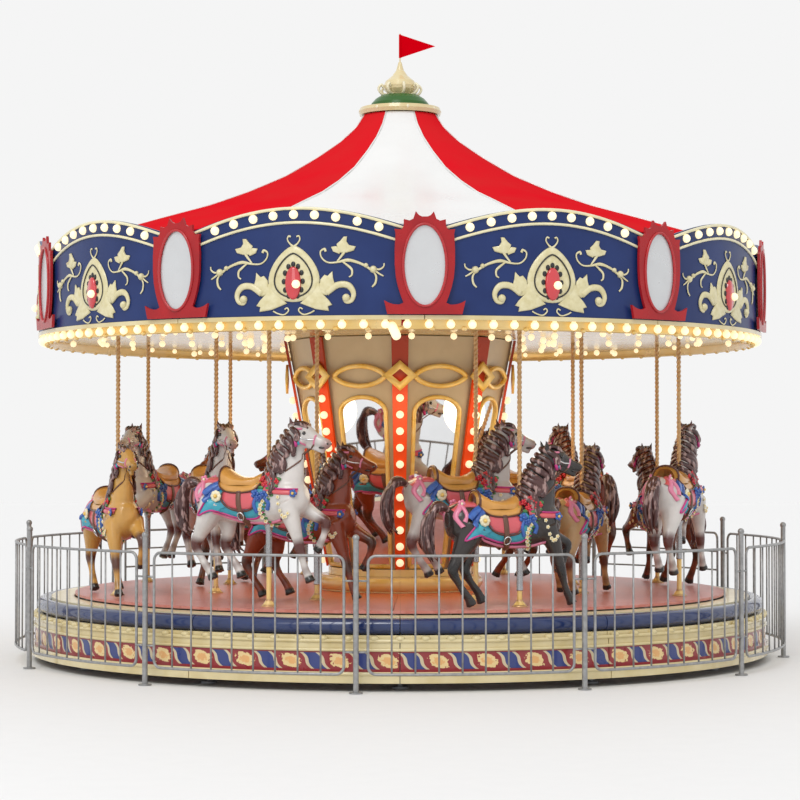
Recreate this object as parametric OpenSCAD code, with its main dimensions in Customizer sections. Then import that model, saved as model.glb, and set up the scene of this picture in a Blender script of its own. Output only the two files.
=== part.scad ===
// Fairground merry-go-round: sixteen galloping horses on a turning platform
// under a striped canopy, inside a round barrier. Millimetres, +Z up.
// Origin: on the ground, at the centre of the turning axis. -Y is the front.

/* [Barrier] */
// Radius of the circle the barrier posts stand on
fence_r = 3300; // [2800:10:4000]
// Number of barrier posts
fence_n = 12; // [8:1:24]
// Angle of the first post from the front
fence_phase = -65.57; // [-90:0.01:90]
// Height of the barrier posts with their ball caps
fence_h = 1155; // [900:5:1300]
// Radius of a post
post_r = 20.5; // [15:0.5:40]
// Radius of a panel's frame tube
tube_r = 11; // [8:0.5:20]
// Bars in each barrier panel
bar_n = 8; // [4:1:14]

/* [Base] */
// Outer radius of the painted skirt
skirt_r = 3140; // [2800:10:3200]
// Radius of the turning deck
deck_r = 2800; // [2400:10:3000]
// Height of the deck's top
deck_z = 565.5; // [300:0.5:800]
// Radius of the fixed mast
mast_r = 100; // [60:1:150]

/* [Horses] */
// Horses in each ring
horse_n = 8; // [4:1:12]
// Radius of the outer ring of horses
outer_r = 2520; // [2000:10:2600]
// Radius of the inner ring of horses
inner_r = 1670; // [1200:10:1900]
// Angle of the first horse from the front
horse_phase = 21.4; // [0:0.1:45]
// Rise and fall of a horse
stroke = 180; // [100:5:300]
// Radius of a horse's upper pole
pole_r = 19; // [15:0.5:30]
// Radius of a floor post
floor_post_r = 20; // [15:0.5:30]

/* [Top] */
// Height of the ceiling's underside
ceil_z = 2730; // [2400:5:3000]
// Outer radius of the cornice
rim_r = 3120; // [2900:5:3200]
// Rounding boards and shields
board_n = 10; // [8:1:16]
// Angle of the first shield from the front
board_phase = 3.34; // [-18:0.01:18]
// Height of the crank shafts
crank_z = 2900; // [2850:5:3000]

/* [Part] */
// Sub-part to draw

/* [Hidden] */
$fn = 48;
gap = 1;
run = 0.05;
slope = 0.19;
side_tilt = atan(slope*cos(22.5));
rib_tilt = atan(slope);
sleeve_r = 25;
disc_r = stroke/2 + 25;
wheel_r = 80;
drum_r = 450;
tyre_r = 120;
tyre_gap = 0.3;
red = [0.85, 0.13, 0.15];
white = [0.95, 0.95, 0.93];
cream = [0.93, 0.89, 0.69];
navy = [0.12, 0.19, 0.4];
gold = [0.86, 0.66, 0.25];
steel = [0.5, 0.5, 0.52];
dark_red = [0.6, 0.12, 0.15];
outer_low = [true, false, true, false, true, false, true, false];
outer_tint = [[0.12, 0.11, 0.11], [0.9, 0.88, 0.85], [0.42, 0.22, 0.12], [0.8, 0.65, 0.4],
  [0.4, 0.2, 0.12], [0.85, 0.8, 0.7], [0.87, 0.66, 0.3], [0.93, 0.9, 0.87]];
inner_tint = [[0.88, 0.85, 0.82], [0.75, 0.55, 0.35], [0.55, 0.25, 0.12], [0.5, 0.2, 0.12],
  [0.3, 0.2, 0.15], [0.45, 0.28, 0.16], [0.92, 0.9, 0.88], [0.6, 0.25, 0.14]];

// turns its children to an angle counted from the front, towards +X
module at(angle, r = 0, z = 0) {
  rotate([0, 0, angle]) translate([0, -r, z]) children();
}

// a ring cut into n equal arcs, each a separate solid
module arcs(r1, r2, z1, z2, n, phase = 0, cut = 0.06) {
  for (i = [0:n - 1]) {
    rotate([0, 0, phase + i*360/n + cut])
      rotate_extrude(angle = 360/n - 2*cut, $fn = 180)
        translate([r1, z1]) square([r2 - r1, z2 - z1]);
  }
}

// an arc of round tube on the barrier circle, from angle a1 to a2
module arc_tube(r, a1, a2, z, tr) {
  rotate([0, 0, a1 - 90])
    rotate_extrude(angle = a2 - a1, $fn = 180)
      translate([r, z]) circle(r = tr, $fn = 16);
}

module ground_frame() {
  color(steel) for (i = [0:11]) {
    at(i*30, 0, 70) translate([-40, -3040, 0]) cube([80, 2738, 80]);
  }
  color(steel) translate([0, 0, 70]) cylinder(r = 300, h = 80);
}

module levelling_feet() {
  color(steel) for (i = [0:11]) {
    at(i*30, 2900) cylinder(r = 60, h = 15);
    at(i*30, 2900) cylinder(r = 20, h = 69);
  }
}

// fixed mast, with the ring on top that the crank wheels roll on
module centre_mast() {
  color(steel) translate([0, 0, 151]) cylinder(r = mast_r, h = crank_z - wheel_r - 26 - 151);
  color(steel) translate([0, 0, crank_z - wheel_r - 25])
    cylinder(r = 345, h = 25 - tyre_gap, $fn = 96);
}

module skirt_foot_rail() {
  color(cream) arcs(skirt_r - 10, skirt_r + 30, 60, 139, 12);
}

module skirt_panels() {
  color(red) arcs(skirt_r - 25, skirt_r, 140, 303, 12);
}

module skirt_moulding() {
  color(cream) arcs(skirt_r - 60, skirt_r - 5, 305, 369, 12);
  color(cream) arcs(skirt_r - 60, skirt_r - 22, 371, 408, 12);
}

module step_nosing() {
  color(navy) for (i = [0:11]) {
    rotate([0, 0, i*30 + 0.06]) rotate_extrude(angle = 29.88, $fn = 180)
      translate([skirt_r - 78, 470]) circle(r = 60, $fn = 40);
  }
}

module step_tread() {
  color(cream) arcs(deck_r + 25, skirt_r - 140, 500, 535, 12);
}

module fence_posts() {
  color(steel) for (i = [0:fence_n - 1]) at(fence_phase + i*360/fence_n, fence_r) {
    cylinder(r = 50, h = 10);
    cylinder(r = post_r, h = fence_h - 40, $fn = 32);
    translate([0, 0, fence_h - 26]) sphere(r = 26, $fn = 32);
  }
}

// one curved barrier panel between angles a1 and a2
module panel(a1, a2, bars) {
  arc_tube(fence_r, a1, a2, 138, tube_r - 1);
  arc_tube(fence_r, a1, a2, 999, tube_r - 1);
  for (a = [a1, a2]) at(a, fence_r, 127) cylinder(r = tube_r, h = 883, $fn = 16);
  if (bars) {
    for (i = [1:bar_n]) at(a1 + (a2 - a1)*i/(bar_n + 1), fence_r, 138)
      cylinder(r = 7, h = 861, $fn = 16);
  } else {
    for (i = [1:4]) arc_tube(fence_r, a1, a2, 138 + i*172, 8);
  }
}

module fence_panels() {
  color(steel) for (i = [0:fence_n - 1]) {
    if (i != 6 && i != 9)
      panel(fence_phase + i*30 + 1.53, fence_phase + i*30 + 28.47, true);
  }
}

module entry_gate() {
  color(steel) panel(fence_phase + 6*30 + 1.53, fence_phase + 6*30 + 28.47, false);
}

module exit_gate() {
  color(steel) panel(fence_phase + 9*30 + 1.53, fence_phase + 9*30 + 28.47, false);
}

module drive_motor() {
  color(steel) at(105, drum_r + tyre_gap + tyre_r, 155) {
    translate([-90, -90, 0]) cube([180, 180, 110]);
    cylinder(r = 60, h = 130);
  }
}

module drive_tyre() {
  color([0.1, 0.1, 0.1]) at(105, drum_r + tyre_gap + tyre_r, 310) {
    cylinder(r = tyre_r, h = 80, $fn = 64);
    translate([0, 0, -24]) cylinder(r = 15, h = 25);
  }
}

module deck_panels() {
  color([0.79, 0.54, 0.53]) arcs(560, deck_r, deck_z - 20.5, deck_z, 8, horse_phase - 22.5 - 90);
}

// joists, edge ring and the drum the drive tyre runs against
module deck_frame() {
  color(steel) for (i = [0:15]) {
    at(horse_phase + i*22.5, 0, 441) translate([-25, -2785, 0]) cube([50, 2630, 100]);
  }
  color(steel) arcs(drum_r - 20, drum_r, 300, 439.5, 12);
}

// turning sleeve around the mast, with a bearing collar at each end
module hub_sleeve() {
  color(steel) difference() {
    translate([0, 0, 420]) cylinder(r = mast_r + 26, h = 2366);
    translate([0, 0, 500]) cylinder(r = mast_r + 8, h = 2200);
    translate([0, 0, 410]) cylinder(r = mast_r + run, h = 2400);
  }
}

module sweep_beams() {
  color(steel) for (i = [0:7]) {
    at(horse_phase + 22.5 + i*45, 0, 2747) translate([-20, -3080, 0]) cube([40, 2950, 38]);
  }
}

// beams and plummer blocks that carry the crank shafts
module crank_bearings() {
  color(steel) difference() {
    union() {
      for (i = [0:7]) {
        at(horse_phase + i*45, 520, 2818) translate([-30, -20, 0]) cube([60, 40, 120]);
        at(horse_phase + i*45, 2090, 2818) translate([-30, -20, 0]) cube([60, 40, 120]);
        at(horse_phase + i*45, 520, 2787) translate([-203, -20, 0]) cube([406, 40, 30]);
        at(horse_phase + i*45, 2090, 2787) translate([-852, -20, 0]) cube([1704, 40, 30]);
      }
    }
    for (i = [0:7]) {
      at(horse_phase + i*45, 0, crank_z) rotate([90, 0, 0])
        cylinder(r = 20 + run, h = 2400);
    }
  }
}

module ceiling_panels() {
  color(cream) difference() {
    arcs(640, rim_r - 35, ceil_z, ceil_z + 15, 8, horse_phase - 22.5 - 90);
    for (i = [0:7], r = [outer_r, inner_r]) {
      at(horse_phase + i*45, r, ceil_z - 5) cylinder(r = 30, h = 25);
    }
  }
}

module cornice() {
  color(cream) arcs(rim_r - 33, rim_r, ceil_z, ceil_z + 32, board_n, board_phase - 90);
}

// outline of one rounding board, arched at the top
function arch_pts(hw, z1, edge, apex) = concat([[-hw, z1], [hw, z1]],
  [for (i = [-8:8]) [-hw*i/8, edge + (apex - edge)*cos(i/8*90*0.93)]]);

module rounding_boards() {
  color(navy) for (i = [0:board_n - 1]) intersection() {
    rotate([0, 0, board_phase + i*36 - 90 + 0.1]) rotate_extrude(angle = 35.8, $fn = 180)
      translate([rim_r - 28, 2700]) square([18, 900]);
    at(board_phase + 18 + i*36, 3300) rotate([90, 0, 180])
      linear_extrude(500) polygon(arch_pts(1000, ceil_z + 34, 3340, 3574));
  }
}

function oval_pts(a, b, n = 36) = [for (i = [0:n - 1]) [a*cos(i*360/n), b*sin(i*360/n)]];

// outline of a shield: flared foot, straight sides and a pointed crown
shield_half = [[277, 2768], [301, 2870], [268, 2852], [232, 2841], [190, 2838], [158, 2852],
  [178, 2905], [197, 2965], [214, 3040], [222, 3130], [223, 3246], [216, 3360], [224, 3396],
  [172, 3392], [156, 3420], [155, 3468], [112, 3458], [85, 3472], [67, 3526], [43, 3498],
  [20, 3488]];
shield_pts = concat(shield_half, [for (j = [20:-1:0]) [-shield_half[j][0], shield_half[j][1]]]);

module shields() {
  color(dark_red) for (i = [0:board_n - 1]) {
    at(board_phase + i*36, rim_r + 3, 0) rotate([90, 0, 0]) linear_extrude(22) difference() {
      polygon(shield_pts);
      translate([0, 3130]) polygon(oval_pts(153, 298));
    }
  }
}

module shield_mirrors() {
  color([0.8, 0.82, 0.85]) for (i = [0:board_n - 1]) {
    at(board_phase + i*36, rim_r + 5, 3130) rotate([90, 0, 0])
      linear_extrude(12) polygon(oval_pts(151, 296));
  }
}

canopy_pts = [[330, 4690], [410, 4570], [550, 4440], [766, 4290], [1050, 4120], [1385, 3970],
  [1735, 3840], [2140, 3720], [2600, 3580], [3070, 3440]];

module canopy_part(first) {
  for (i = [0:3]) rotate([0, 0, -19 - 90 + (first + 2*i)*45 + 0.1])
    rotate_extrude(angle = 44.8, $fn = 96)
      polygon(concat(canopy_pts, [for (j = [9:-1:0]) canopy_pts[j] - [4, 12]]));
}

module canopy_white() {
  color(white) canopy_part(0);
}

module canopy_red() {
  color(red) canopy_part(1);
}

module canopy_collar() {
  color(cream) rotate_extrude($fn = 64)
    polygon([[240, 4696], [352, 4696], [362, 4728], [350, 4758], [240, 4758]]);
}

module crown_dome() {
  color([0.2, 0.5, 0.3]) rotate_extrude($fn = 64)
    polygon([[0, 4760], [262, 4760], [250, 4800], [215, 4840], [172, 4868], [0, 4868]]);
}

module finial() {
  color(cream) rotate_extrude($fn = 48)
    polygon([[0, 4870], [100, 4870], [110, 4890], [142, 4925], [148, 4955], [125, 5000],
      [70, 5045], [34, 5095], [14, 5165], [6, 5170], [6, 5418], [0, 5418]]);
}

module pennant() {
  color(red) translate([0, 0, 5205]) difference() {
    cylinder(r = 10, h = 205, $fn = 32);
    translate([0, 0, -1]) cylinder(r = 6 + run, h = 207, $fn = 32);
  }
  color(red) translate([9, 1.5, 5207]) rotate([90, 0, 0])
    linear_extrude(3) polygon([[0, 0], [300, 100], [0, 200]]);
}

function rib_radius(z) = 640 + slope*(z - 900);

// a plate lying on a face or corner of the tapered housing
module housing_plate(angle, r1, tilt, z1, pts, t) {
  rotate([0, 0, angle - 90]) translate([r1, 0, z1]) rotate([0, tilt, 0])
    rotate([90, 0, 90]) linear_extrude(t) polygon(pts);
}

module housing_panels() {
  z1 = 764;
  l = (2727 - z1)/cos(side_tilt);
  w1 = rib_radius(z1)*sin(22.5) - 12;
  w2 = rib_radius(2727)*sin(22.5) - 12;
  color(cream) for (i = [0:7]) {
    housing_plate(22.5 + i*45, rib_radius(z1)*cos(22.5) - 20, side_tilt, z1,
      [[-w1, 3], [w1, 3], [w2, l], [-w2, l]], 18);
  }
}

module housing_ribs() {
  z1 = 764;
  l = (2724 - z1)/cos(rib_tilt);
  color([0.85, 0.3, 0.1]) for (i = [0:7]) {
    housing_plate(i*45, rib_radius(z1) + 4, rib_tilt, z1,
      [[-40, 4], [40, 4], [72, l], [-72, l]], 20);
  }
}

module housing_mirrors() {
  z1 = 790;
  l = 1300/cos(side_tilt);
  color([0.8, 0.82, 0.85]) for (i = [0:7]) {
    housing_plate(22.5 + i*45, rib_radius(z1)*cos(22.5), side_tilt, z1,
      concat([[-155, 0], [155, 0]], [for (j = [0:8]) [205*cos(j*22.5), l + 130*sin(j*22.5)]]), 6);
  }
}

module housing_plinth() {
  color(gold) arcs(600, 690, 567, 699, 8);
  color(cream) arcs(540, 622, 701, 761, 8);
}

module floor_posts() {
  color(gold) for (i = [0:7], r = [outer_r, inner_r]) at(horse_phase + i*45, r, deck_z + 0.5) {
    cylinder(r1 = 62, r2 = 26, h = 45);
    cylinder(r = floor_post_r, h = 965 - deck_z);
  }
}

// a length of shaft along the radius
module radial(r, a, b) {
  translate([0, -a, crank_z]) rotate([90, 0, 0]) cylinder(r = r, h = b - a);
}

// overhead crank: drive wheel, shaft and a pair of discs over each horse
module crank(k) {
  color(steel) at(horse_phase + (k - 1)*45) {
    radial(wheel_r, 300, 340);
    radial(20, 339, inner_r - 60);
    radial(disc_r, inner_r - 68, inner_r - 52);
    radial(disc_r, inner_r + 52, inner_r + 68);
    radial(20, inner_r + 60, outer_r - 60);
    radial(disc_r, outer_r - 68, outer_r - 52);
    radial(disc_r, outer_r + 52, outer_r + 68);
  }
}

// a flat-sided piece of the horse, from its side outline and its two sides
module slab(pts, y1, y2) {
  translate([0, y2, 0]) rotate([90, 0, 0]) linear_extrude(y2 - y1) polygon(pts);
}

torso_pts = [[-610, 660], [-590, 750], [-520, 805], [-380, 800], [-350, 880], [-300, 830], [-100, 815],
  [10, 840], [200, 830], [290, 790], [325, 700], [290, 600], [180, 500], [0, 450], [-250, 455],
  [-450, 500], [-570, 570]];
flank_pts = [[-575, 660], [-510, 770], [-380, 770], [-100, 780], [180, 780], [270, 720], [260, 620],
  [150, 530], [-20, 485], [-260, 490], [-440, 530], [-540, 590]];
neck_pts = [[40, 760], [110, 980], [190, 1170], [205, 1262], [250, 1215], [330, 1190], [515, 1090],
  [515, 1045], [460, 1005], [330, 1060], [285, 1000], [290, 880], [315, 760], [200, 640]];
tail_pts = [[-560, 770], [-650, 800], [-750, 770], [-800, 640], [-790, 460], [-715, 340], [-700, 420],
  [-730, 540], [-700, 660], [-640, 720], [-560, 690]];
fore_pts = [[120, 620], [180, 430], [262, 290], [310, 130], [360, 20], [440, 15], [400, 100], [355, 250],
  [330, 420], [285, 600]];
lift_pts = [[120, 621], [250, 490], [380, 440], [380, 330], [320, 230], [400, 205], [455, 380], [490, 490],
  [420, 545], [285, 630]];
rear_pts = [[-560, 620], [-590, 430], [-640, 290], [-590, 180], [-475, 20], [-395, 15], [-430, 90],
  [-530, 240], [-500, 380], [-390, 480], [-330, 600]];
hind_pts = [[-540, 610], [-480, 420], [-470, 290], [-410, 160], [-320, 35], [-235, 30], [-270, 110],
  [-370, 260], [-345, 390], [-290, 480], [-270, 610]];

// galloping horse, heading +X, heights counted from the deck
module horse_figure() {
  slab(torso_pts, -115, 115);
  slab(flank_pts, -151, 151);
  slab(neck_pts, -62, 62);
  slab(tail_pts, -38, 38);
  slab(fore_pts, -124, -54);
  slab(rear_pts, -126, -50);
  slab(lift_pts, 54, 124);
  slab(hind_pts, 50, 126);
}

// upper pole with its cross pin, and the sleeve below that slides on the floor post
module horse_pole() {
  translate([0, 0, deck_z + 700]) cylinder(r = pole_r, h = 2836 - deck_z - 700);
  translate([0, 50, crank_z - stroke/2]) rotate([90, 0, 0]) cylinder(r = 12, h = 100);
  difference() {
    translate([0, 0, 690]) cylinder(r = sleeve_r, h = 360);
    translate([0, 0, 680]) cylinder(r = floor_post_r + 1.5, h = 295);
  }
}

module lifted(k, outer) {
  low = outer ? outer_low[k - 1] : !outer_low[k - 1];
  at(horse_phase + (k - 1)*45, outer ? outer_r : inner_r, low ? 0 : stroke) children();
}

ground_frame();
levelling_feet();
centre_mast();
skirt_foot_rail();
skirt_panels();
skirt_moulding();
step_nosing();
step_tread();
fence_posts();
fence_panels();
entry_gate();
exit_gate();
drive_motor();
drive_tyre();
deck_panels();
deck_frame();
hub_sleeve();
sweep_beams();
crank_bearings();
ceiling_panels();
cornice();
rounding_boards();
shields();
shield_mirrors();
canopy_red();
canopy_white();
canopy_collar();
crown_dome();
finial();
pennant();
housing_panels();
housing_ribs();
housing_mirrors();
housing_plinth();
floor_posts();
for (k = [1:8]) crank(k);
for (k = [1:8]) lifted(k, true) color(outer_tint[k - 1]) translate([0, 0, deck_z]) horse_figure();
for (k = [1:8]) lifted(k, true) color(gold) horse_pole();
for (k = [1:8]) lifted(k, false) color(inner_tint[k - 1]) translate([0, 0, deck_z]) horse_figure();
for (k = [1:8]) lifted(k, false) color(gold) horse_pole();
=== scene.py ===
import math
import random
from math import degrees, hypot, pi, radians
import bpy
import bmesh
import numpy as np
from mathutils import Matrix, Vector
from mathutils.bvhtree import BVHTree


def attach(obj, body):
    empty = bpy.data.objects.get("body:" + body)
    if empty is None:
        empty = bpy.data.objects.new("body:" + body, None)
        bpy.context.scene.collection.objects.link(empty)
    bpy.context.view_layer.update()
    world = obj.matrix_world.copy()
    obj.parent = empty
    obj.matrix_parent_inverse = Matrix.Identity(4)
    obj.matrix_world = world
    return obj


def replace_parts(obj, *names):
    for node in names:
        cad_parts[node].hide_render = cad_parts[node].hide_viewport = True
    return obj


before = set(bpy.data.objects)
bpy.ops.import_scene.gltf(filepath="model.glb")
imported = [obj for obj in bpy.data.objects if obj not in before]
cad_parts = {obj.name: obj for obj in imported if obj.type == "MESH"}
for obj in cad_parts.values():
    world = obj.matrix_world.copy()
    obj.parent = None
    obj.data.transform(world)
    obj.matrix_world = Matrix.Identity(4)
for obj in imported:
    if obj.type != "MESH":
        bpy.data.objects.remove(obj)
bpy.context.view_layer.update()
rng = random.Random(7)
sin = lambda d: math.sin(radians(d))
cos = lambda d: math.cos(radians(d))

# sizes, in metres and degrees
DECK = 0.5655
RIM = 3.12
OUT_R, IN_R, PHASE, STROKE = 2.52, 1.67, 21.4, 0.18
BOARD0, NB = 3.34, 10
SLOPE = 0.19
FENCE_R, FENCE0, BAY, BAY_GAP = 3.3, -65.57, 30, 1.53
GATE_BAYS = {6: "entry_gate", 9: "exit_gate"}


def P(th, r, z):
    return (r * sin(th), -r * cos(th), z)


# ---------- materials ----------
MATS = {}


class Nodes:
    """Short names for building a node tree."""

    def __init__(self, mat):
        self.t = mat.node_tree
        self.n = self.t.nodes
        self.co = None

    def new(self, kind, **kw):
        node = self.n.new(kind)
        for k, v in kw.items():
            setattr(node, k, v)
        return node

    def link(self, a, b):
        self.t.links.new(a, b)

    def obj(self):
        if self.co is None:
            self.co = self.new("ShaderNodeTexCoord").outputs["Object"]
        return self.co

    def math(self, op, a, b=None, c=None):
        node = self.new("ShaderNodeMath", operation=op)
        for i, v in enumerate((a, b, c)):
            if v is None:
                continue
            if isinstance(v, (int, float)):
                node.inputs[i].default_value = v
            else:
                self.link(v, node.inputs[i])
        return node.outputs[0]

    def mix(self, fac, a, b):
        node = self.new("ShaderNodeMix", data_type="RGBA")
        for i, v in ((0, fac), (6, a), (7, b)):
            if isinstance(v, (int, float)):
                node.inputs[i].default_value = v
            elif isinstance(v, (tuple, list)):
                node.inputs[i].default_value = (*v[:3], 1)
            else:
                self.link(v, node.inputs[i])
        return node.outputs[2]

    def noise(self, scale, detail=3.0, stretch=None):
        node = self.new("ShaderNodeTexNoise")
        node.inputs["Scale"].default_value = scale
        node.inputs["Detail"].default_value = detail
        src = self.obj()
        if stretch:
            m = self.new("ShaderNodeMapping")
            m.inputs["Scale"].default_value = stretch
            self.link(src, m.inputs["Vector"])
            src = m.outputs[0]
        self.link(src, node.inputs["Vector"])
        return node.outputs["Fac"]


def paint(name, col, rough=0.35, metal=0.0, coat=0.0, col2=None, scale=6.0, bump=0.08,
          bscale=60.0, stretch=None, emit=None, power=0.0, wear=0.12, extra=None, spec=0.5):
    """A procedural paint, metal or cloth: mottled colour, fine bump and varied roughness."""
    if name in MATS:
        return MATS[name]
    mat = bpy.data.materials.new(name)
    mat.use_nodes = True
    s = Nodes(mat)
    bsdf = s.n["Principled BSDF"]
    base = s.noise(scale, 4.0, stretch)
    other = col2 or tuple(c * (1 - wear) for c in col)
    f = s.math("MULTIPLY", s.math("SUBTRACT", base, 0.35), 3.0)
    f = s.math("MINIMUM", s.math("MAXIMUM", f, 0.0), 1.0)
    c = s.mix(f, col, other)
    if extra:
        c = extra(s, c)
    s.link(c, bsdf.inputs["Base Color"])
    r = s.math("MULTIPLY_ADD", base, 0.18, max(rough - 0.09, 0.02))
    s.link(r, bsdf.inputs["Roughness"])
    bsdf.inputs["Metallic"].default_value = metal
    bsdf.inputs["Specular IOR Level"].default_value = spec
    bsdf.inputs["Coat Weight"].default_value = coat
    bsdf.inputs["Coat Roughness"].default_value = 0.08
    if bump:
        b = s.new("ShaderNodeBump")
        b.inputs["Strength"].default_value = bump
        b.inputs["Distance"].default_value = 0.002
        s.link(s.noise(bscale, 3.0, stretch), b.inputs["Height"])
        s.link(b.outputs[0], bsdf.inputs["Normal"])
    if emit:
        bsdf.inputs["Emission Color"].default_value = (*emit, 1)
        bsdf.inputs["Emission Strength"].default_value = power
    mat.diffuse_color = (*col, 1)
    MATS[name] = mat
    return mat




def ring_uv(s, pitch, z0, z1):
    """Angle counted in repeats, and height from 0 to 1, over a ring."""
    sep = s.new("ShaderNodeSeparateXYZ")
    s.link(s.obj(), sep.inputs[0])
    ang = s.math("ARCTAN2", sep.outputs[0], s.math("MULTIPLY", sep.outputs[1], -1.0))
    u = s.math("MULTIPLY", ang, 180 / pi / pitch)
    v = s.math("DIVIDE", s.math("SUBTRACT", sep.outputs[2], z0), z1 - z0)
    return u, v


def ribbon_band(s, c):
    """Painted band: diagonal blue ribbons with cream edges between gold leaves, red borders."""
    u, v = ring_uv(s, 360 / 54, 0.14, 0.303)
    w = s.math("ADD", u, s.math("MULTIPLY", v, 0.45))
    w = s.math("ADD", w, s.math("MULTIPLY", s.math("SINE", s.math("MULTIPLY", v, 6.28)), 0.06))
    d = s.math("ABSOLUTE", s.math("SUBTRACT", s.math("FRACT", w), 0.5))
    cream = s.math("LESS_THAN", d, 0.2)
    blue = s.math("LESS_THAN", d, 0.13)
    e = s.math("SUBTRACT", s.math("FRACT", s.math("ADD", w, 0.5)), 0.5)
    flick = s.math("SUBTRACT", s.noise(55.0, 3.0), 0.5)
    e = s.math("ADD", e, s.math("MULTIPLY", flick, 0.30))
    leaf = s.math("ADD", s.math("POWER", s.math("MULTIPLY", e, 5.2), 2.0),
                  s.math("POWER", s.math("MULTIPLY", s.math("SUBTRACT", v, 0.5), 3.1), 2.0))
    gold = s.math("LESS_THAN", leaf, 1.0)
    core = s.math("LESS_THAN", leaf, 0.3)
    c = s.mix(cream, (0.27, 0.015, 0.02), (0.60, 0.50, 0.32))
    c = s.mix(blue, c, (0.022, 0.040, 0.19))
    c = s.mix(gold, c, (0.78, 0.58, 0.27))
    c = s.mix(s.math("MULTIPLY", core, 0.6), c, (0.72, 0.28, 0.06))
    edge = s.math("GREATER_THAN", s.math("ABSOLUTE", s.math("SUBTRACT", v, 0.5)), 0.37)
    c = s.mix(edge, c, (0.27, 0.012, 0.02))
    return c


def deck_seams_and_painted_glow(s, c):
    """Deck boards: pink paint with painted warm bulb light, which turns it orange towards the centre, and seams along
    the radius.
    """
    u, v = ring_uv(s, 7.5, 0, 1)
    seam = s.math("LESS_THAN", s.math("FRACT", u), 0.02)
    sep = s.new("ShaderNodeSeparateXYZ")
    s.link(s.obj(), sep.inputs[0])
    r = s.math("SQRT", s.math("ADD", s.math("POWER", sep.outputs[0], 2.0), s.math("POWER", sep.outputs[1], 2.0)))
    # painted light: an orange pool of warm bulb light, strongest towards the centre of the deck
    painted_glow = s.math("MINIMUM", s.math("MAXIMUM", s.math("MULTIPLY", s.math("SUBTRACT", 2.3, r), 0.7), 0.0), 0.85)
    c = s.mix(painted_glow, c, (0.72, 0.17, 0.05))
    return s.mix(s.math("MULTIPLY", seam, 0.5), c, (0.3, 0.12, 0.12))


steel = paint("steel_paint", (0.30, 0.31, 0.33), 0.45, 0.2)
galv = paint("galvanised", (0.36, 0.36, 0.36), 0.42, 0.55, col2=(0.27, 0.27, 0.27), scale=30)
cream = paint("cream_gloss", (0.72, 0.62, 0.36), 0.20, coat=0.5, col2=(0.62, 0.50, 0.24), scale=4)
tread = paint("tread_cream", (0.84, 0.74, 0.46), 0.35, coat=0.3, bump=0.2, bscale=120)
navy_n = paint("nosing_navy", (0.008, 0.022, 0.095), 0.16, coat=0.5, col2=(0.012, 0.030, 0.12))
navy_b = paint("board_navy", (0.014, 0.030, 0.120), 0.32, spec=0.25, col2=(0.018, 0.038, 0.145), scale=3)
band = paint("skirt_band", (0.45, 0.06, 0.07), 0.3, coat=0.5, extra=ribbon_band)
deckm = paint("deck_paint", (0.52, 0.17, 0.14), 0.34, spec=0.3, col2=(0.62, 0.27, 0.24),
              stretch=(1, 1, 0.2), scale=14, bump=0.25, bscale=90, extra=deck_seams_and_painted_glow)
ceilm = paint("ceiling_cream", (0.52, 0.37, 0.12), 0.22, coat=0.3, col2=(0.66, 0.52, 0.24), scale=5)
wallm = paint("housing_beige", (0.50, 0.40, 0.25), 0.35, spec=0.3, col2=(0.55, 0.45, 0.29))
shieldm = paint("shield_red", (0.40, 0.012, 0.016), 0.28, spec=0.35, col2=(0.32, 0.010, 0.014))
mirror = paint("mirror_glass", (0.86, 0.87, 0.88), 0.10, 1.0, bump=0.0, wear=0.03)
# the mirror keeps a narrow spread of low roughness
for node in mirror.node_tree.nodes:
    if node.type == "MATH" and node.operation == "MULTIPLY_ADD":
        node.inputs[1].default_value = 0.02
        node.inputs[2].default_value = 0.015
mirror_s = paint("shield_mirror", (0.62, 0.63, 0.64), 0.30, 0.35, bump=0.0, wear=0.04)
c_red = paint("canopy_red_frp", (0.62, 0.018, 0.022), 0.26, spec=0.0, coat=0.0, col2=(0.66, 0.010, 0.018), scale=2)
c_wht = paint("canopy_white_frp", (0.78, 0.78, 0.77), 0.25, spec=0.3, coat=0.0, wear=0.04, scale=2)
green = paint("dome_green", (0.035, 0.12, 0.022), 0.3, spec=0.3)
flagm = paint("flag_cloth", (0.60, 0.0, 0.006), 0.6, spec=0.0, bump=0.4, bscale=300)
def rib_fade(s, c):
    """Ribs are brick red above the diamonds and orange below them."""
    u, v = ring_uv(s, 45, 2.36, 2.42)
    return s.mix(s.math("MINIMUM", s.math("MAXIMUM", v, 0.0), 1.0), c, (0.36, 0.045, 0.015))


orange = paint("rib_orange", (0.86, 0.085, 0.010), 0.3, spec=0.25, col2=(0.78, 0.07, 0.008), extra=rib_fade)
gold = paint("gold_leaf", (0.84, 0.58, 0.18), 0.25, 0.25, coat=0.4, col2=(0.88, 0.66, 0.30), scale=5, bump=0.03)
gold_p = paint("gold_paint", (0.82, 0.52, 0.10), 0.30, 0.1, spec=0.5, col2=(0.88, 0.66, 0.25), scale=9)
orn = paint("ornament_cream", (0.62, 0.55, 0.30), 0.34, coat=0.3, col2=(0.72, 0.66, 0.42), scale=25)
tyre = paint("tyre_rubber", (0.02, 0.02, 0.02), 0.75, bump=0.3)
polem = paint("pole_gold", (0.60, 0.37, 0.16), 0.30, 0.35, coat=0.3, col2=(0.46, 0.26, 0.11), scale=40)
sleevem = paint("sleeve_steel", (0.45, 0.45, 0.46), 0.25, 0.9, scale=20)
bulbm = paint("bulb_glow", (0.80, 0.66, 0.40), 0.3, bump=0.0, emit=(1.0, 0.86, 0.56), power=0.80, wear=0.02)
blackm = paint("black_line", (0.02, 0.02, 0.02), 0.35)
jewel = paint("red_jewel", (0.62, 0.03, 0.04), 0.15, coat=1.0)

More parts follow.
